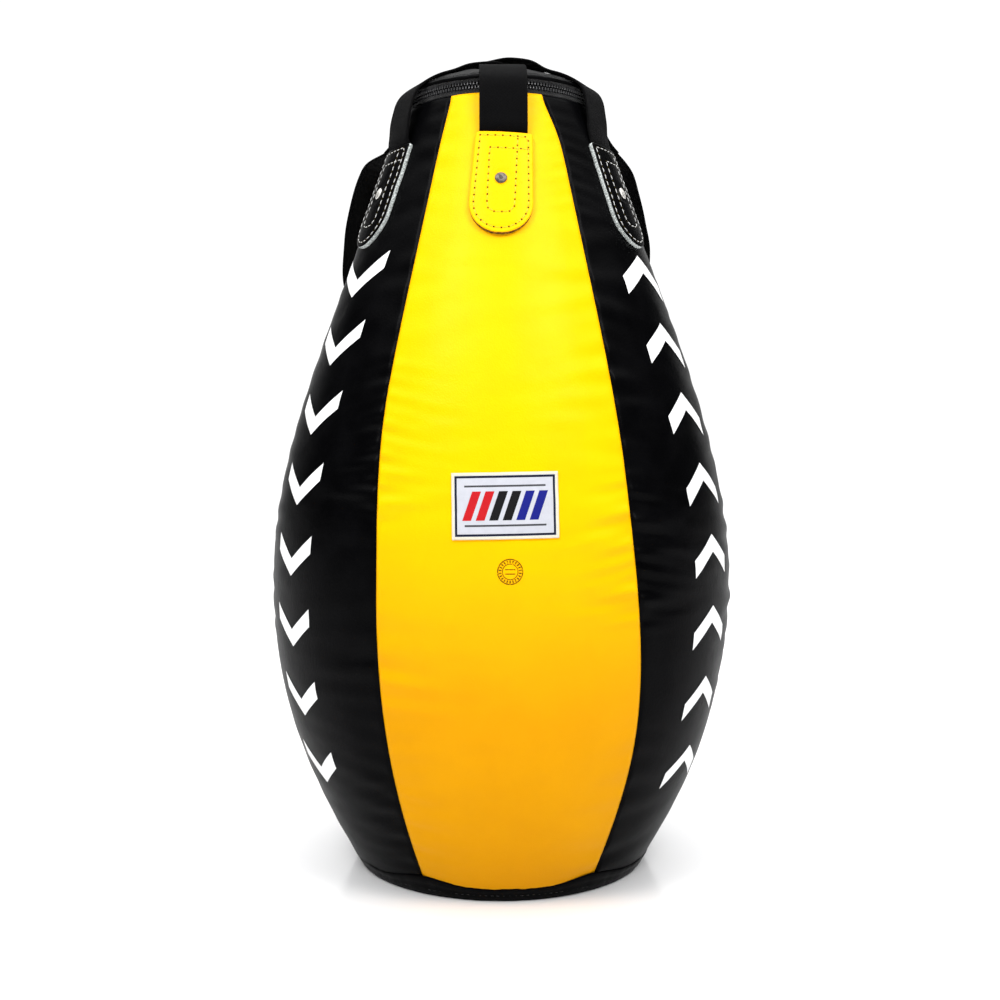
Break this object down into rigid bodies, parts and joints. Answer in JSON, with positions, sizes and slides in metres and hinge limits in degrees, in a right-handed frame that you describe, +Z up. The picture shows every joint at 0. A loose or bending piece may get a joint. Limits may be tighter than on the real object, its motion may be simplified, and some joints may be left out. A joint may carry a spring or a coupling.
{
  "type": "heavy punching bag",
  "caption": "Teardrop heavy punching bag of sewn synthetic-leather panels, with a zipped lid, riveted strap patches and crossing webbing straps to hang it by.",
  "frame": {"origin": "centre of the flat base, at floor level", "axes": "+Z up along the bag's axis, the front yellow panel with the label faces -Y, +X to the right seen from the front"},
  "size_m": [0.504, 0.504, 0.8902],
  "materials": {
    "yellow_leather": "glossy coated synthetic leather with a fine grain",
    "black_leather": "glossy coated synthetic leather with a fine grain",
    "seam_tape": "woven nylon tape",
    "lining_nylon": "plain woven nylon",
    "stuffing": "packed shredded textile",
    "webbing": "heavy woven nylon webbing",
    "backing_leather": "matt split leather",
    "rivet_steel": "domed and burnished",
    "zip_tape": "twill zip tape",
    "zip_teeth": "moulded acetal, worn pale on the tips",
    "zip_metal": "dark nickel",
    "label_weave": "damask woven"
  },
  "bodies": {
    "bag": {"panel_front": "yellow_leather", "panel_back": "yellow_leather", "patch_front": "yellow_leather", "patch_back": "yellow_leather", "panel_front_right": "black_leather", "panel_rear_right": "black_leather", "panel_rear_left": "black_leather", "panel_front_left": "black_leather", "base_panel": "black_leather", "base_binding": "black_leather", "lid_hinge_strip": "black_leather", "patch_front_right": "black_leather", "patch_rear_right": "black_leather", "patch_rear_left": "black_leather", "patch_front_left": "black_leather", "seam_tapes": "seam_tape", "liner": "lining_nylon", "filling": "stuffing", "slack_loop_back": "webbing", "slack_loop_rear_right": "webbing", "slack_loop_rear_left": "webbing", "tail_front": "webbing", "tail_front_right": "webbing", "tail_rear_right": "webbing", "tail_back": "webbing", "tail_rear_left": "webbing", "tail_front_left": "webbing", "patch_backings": "backing_leather", "rivets": "rivet_steel", "rivet_washers": "rivet_steel", "zip_tape_lower": "zip_tape", "zip_teeth_lower": "zip_teeth", "zip_stops": "zip_metal", "label": "label_weave"},
    "lid": {"lid_panel": "black_leather", "lid_lining": "lining_nylon", "zip_tape_upper": "zip_tape", "zip_teeth_upper": "zip_teeth"},
    "straps": {"strap_front_back": "webbing", "strap_left": "webbing", "strap_right": "webbing"},
    "zip_slider": {"zip_slider": "zip_metal"},
    "zip_pull": {"zip_pull": "zip_metal"}
  },
  "joints": [
    {"name": "lid_open", "type": "hinge", "parent": "bag", "child": "lid", "pos_m": [0, 0.108, 0.835], "axis": [-1, 0, 0], "range_deg": [0, 50]},
    {"name": "straps_lift", "type": "slide", "parent": "bag", "child": "straps", "axis": [0, 0, 1], "range_m": [0, 0.19], "deforming": ["slack_loop_back", "slack_loop_rear_right", "slack_loop_rear_left"]},
    {"name": "zip_slide", "type": "hinge", "parent": "bag", "child": "zip_slider", "pos_m": [0, 0, 0.8355], "axis": [0, 0, -1], "range_deg": [0, 290]},
    {"name": "pull_swing", "type": "hinge", "parent": "zip_slider", "child": "zip_pull", "pos_m": [0.06367, 0.09093, 0.837], "axis": [0.8192, -0.5736, 0], "range_deg": [0, 120]}
  ],
  "couplings": [
    {"joint": "straps_lift", "follows": "lid_open", "m_per_rad": 0.2177}
  ]
}
